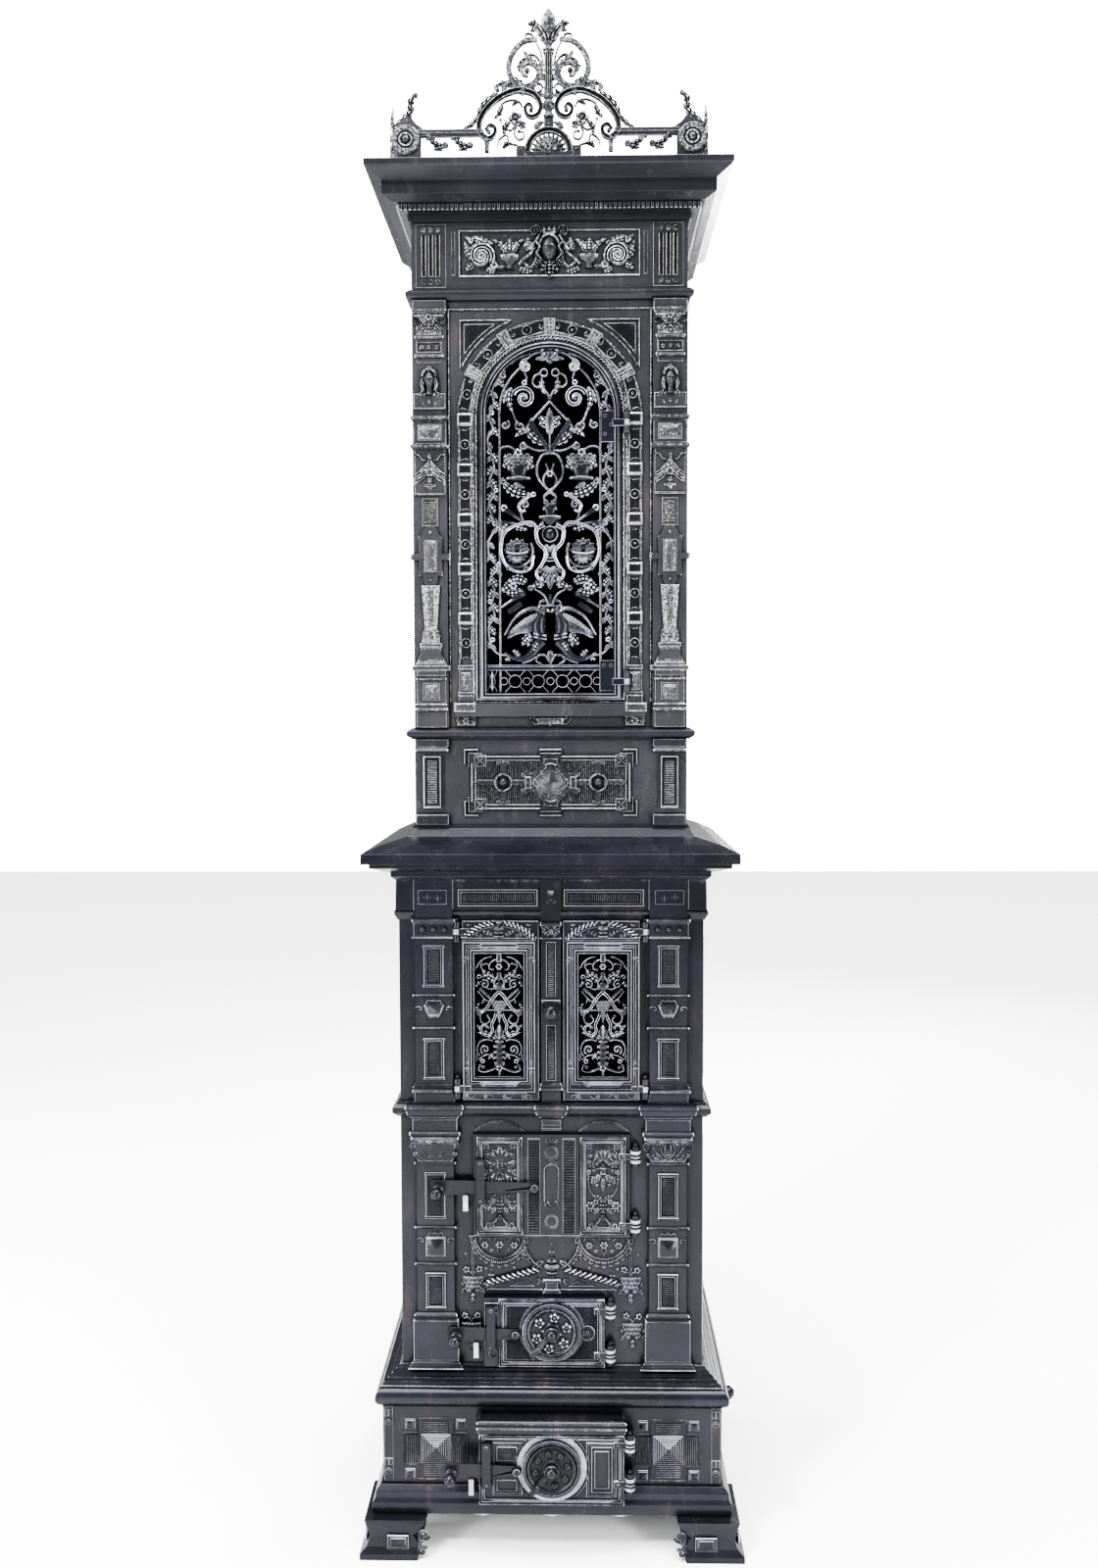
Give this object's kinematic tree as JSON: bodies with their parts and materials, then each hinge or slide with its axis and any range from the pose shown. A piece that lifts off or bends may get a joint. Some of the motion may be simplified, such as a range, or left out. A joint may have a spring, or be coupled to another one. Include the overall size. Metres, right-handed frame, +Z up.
{
  "type": "tiered cast iron stove",
  "caption": "Tall tiered cast iron room stove with an ash box, firebox, oven and an arched grille door under a crested cornice.",
  "frame": {"origin": "on the floor below the middle of the stove", "axes": "+X to the right seen from the front, +Y to the back, +Z up; the doors face -Y"},
  "size_m": [0.61, 0.541, 2.416],
  "materials": {
    "cast_black": "graphite blacked casting",
    "cast_grey": "sand cast, lightly blacked",
    "bright_steel": "worn bright steel",
    "sheet_steel": "black sheet steel",
    "firebrick": "fired clay, sooty"
  },
  "bodies": {
    "stove": {"base_back": "cast_black", "base_front": "cast_black", "base_left": "cast_black", "base_right": "cast_black", "crest_front": "cast_grey", "fire_baffle": "cast_black", "firebox_back": "cast_black", "firebox_front": "cast_black", "firebox_left": "cast_black", "firebox_right": "cast_black", "firebricks": "firebrick", "flue_collar": "cast_black", "foot_front_left": "cast_black", "foot_front_right": "cast_black", "foot_rear_left": "cast_black", "foot_rear_right": "cast_black", "frieze_tier": "cast_grey", "grate_frame": "cast_black", "hinge_pins": "bright_steel", "latch_keepers": "bright_steel", "lip_frame": "cast_black", "middle_band": "cast_black", "oven_back": "cast_black", "oven_box": "sheet_steel", "oven_front": "cast_black", "oven_left": "cast_black", "oven_right": "cast_black", "plinth_tray": "cast_black", "shelf_cornice": "cast_black", "side_galleries": "cast_grey", "string_courses": "cast_grey", "tie_rods": "bright_steel", "top_cornice": "cast_grey", "top_plate": "cast_black", "tower_back": "cast_grey", "tower_base": "cast_grey", "tower_front": "cast_grey", "tower_left": "cast_grey", "tower_right": "cast_grey"},
    "arch_door": {"arch_door": "cast_grey"},
    "left_oven_door": {"oven_door_left": "cast_black", "oven_keeper_left": "cast_black"},
    "right_oven_door": {"oven_door_right": "cast_black", "oven_keeper_right": "cast_black"},
    "oven_catch": {"oven_knob": "cast_black", "oven_latch_bar": "cast_black"},
    "fuel_door": {"fuel_door": "cast_black"},
    "fuel_latch": {"fuel_latch_lever": "cast_black", "fuel_latch_grip": "cast_black"},
    "fire_door": {"fire_door": "cast_black"},
    "fire_latch": {"fire_latch_lever": "cast_black", "fire_latch_grip": "cast_black"},
    "fire_valve": {"fire_air_valve": "cast_black"},
    "ash_door": {"ash_door": "cast_black"},
    "ash_latch": {"ash_latch_lever": "cast_black", "ash_latch_grip": "cast_black"},
    "ash_valve": {"ash_air_valve": "cast_black"},
    "ash_pan": {"ash_pan": "sheet_steel"},
    "grate_shaker": {"shaking_grate": "cast_black", "shaker_rod": "cast_black"}
  },
  "joints": [
    {"name": "arch_door_hinge", "type": "hinge", "parent": "stove", "child": "arch_door", "pos_m": [0.12, -0.174, 1.6], "axis": [0, 0, 1], "range_deg": [0, 110]},
    {"name": "left_oven_door_hinge", "type": "hinge", "parent": "stove", "child": "left_oven_door", "pos_m": [-0.1495, -0.189, 0.868], "axis": [0, 0, -1], "range_deg": [0, 110]},
    {"name": "right_oven_door_hinge", "type": "hinge", "parent": "stove", "child": "right_oven_door", "pos_m": [0.1495, -0.189, 0.868], "axis": [0, 0, 1], "range_deg": [0, 110]},
    {"name": "oven_catch_turn", "type": "hinge", "parent": "stove", "child": "oven_catch", "pos_m": [0, -0.19, 0.8685], "axis": [0, -1, 0], "range_deg": [0, 90]},
    {"name": "fuel_door_hinge", "type": "hinge", "parent": "stove", "child": "fuel_door", "pos_m": [0.134, -0.189, 0.585], "axis": [0, 0, 1], "range_deg": [0, 115]},
    {"name": "fuel_latch_lift", "type": "hinge", "parent": "fuel_door", "child": "fuel_latch", "pos_m": [-0.027, -0.192, 0.5855], "axis": [0, -1, 0], "range_deg": [-16, 4]},
    {"name": "fire_door_hinge", "type": "hinge", "parent": "stove", "child": "fire_door", "pos_m": [0.094, -0.193, 0.348], "axis": [0, 0, 1], "range_deg": [0, 115]},
    {"name": "fire_latch_lift", "type": "hinge", "parent": "fire_door", "child": "fire_latch", "pos_m": [-0.058, -0.196, 0.3475], "axis": [0, -1, 0], "range_deg": [-16, 4]},
    {"name": "fire_valve_turn", "type": "hinge", "parent": "fire_door", "child": "fire_valve", "pos_m": [0, -0.198, 0.3515], "axis": [0, -1, 0], "range_deg": [0, 30]},
    {"name": "ash_door_hinge", "type": "hinge", "parent": "stove", "child": "ash_door", "pos_m": [0.124, -0.233, 0.152], "axis": [0, 0, 1], "range_deg": [0, 115]},
    {"name": "ash_latch_lift", "type": "hinge", "parent": "ash_door", "child": "ash_latch", "pos_m": [-0.055, -0.236, 0.1445], "axis": [0, -1, 0], "range_deg": [-16, 4]},
    {"name": "ash_valve_turn", "type": "hinge", "parent": "ash_door", "child": "ash_valve", "pos_m": [0, -0.238, 0.1485], "axis": [0, -1, 0], "range_deg": [0, 30]},
    {"name": "ash_pan_slide", "type": "slide", "parent": "stove", "child": "ash_pan", "axis": [0, -1, 0], "range_m": [0, 0.15]},
    {"name": "grate_shake", "type": "slide", "parent": "stove", "child": "grate_shaker", "axis": [1, 0, 0], "range_m": [0, 0.03]}
  ],
  "couplings": [
    {"joint": "ash_pan_slide", "follows": "ash_door_hinge", "m_per_rad": 0.0725}
  ]
}
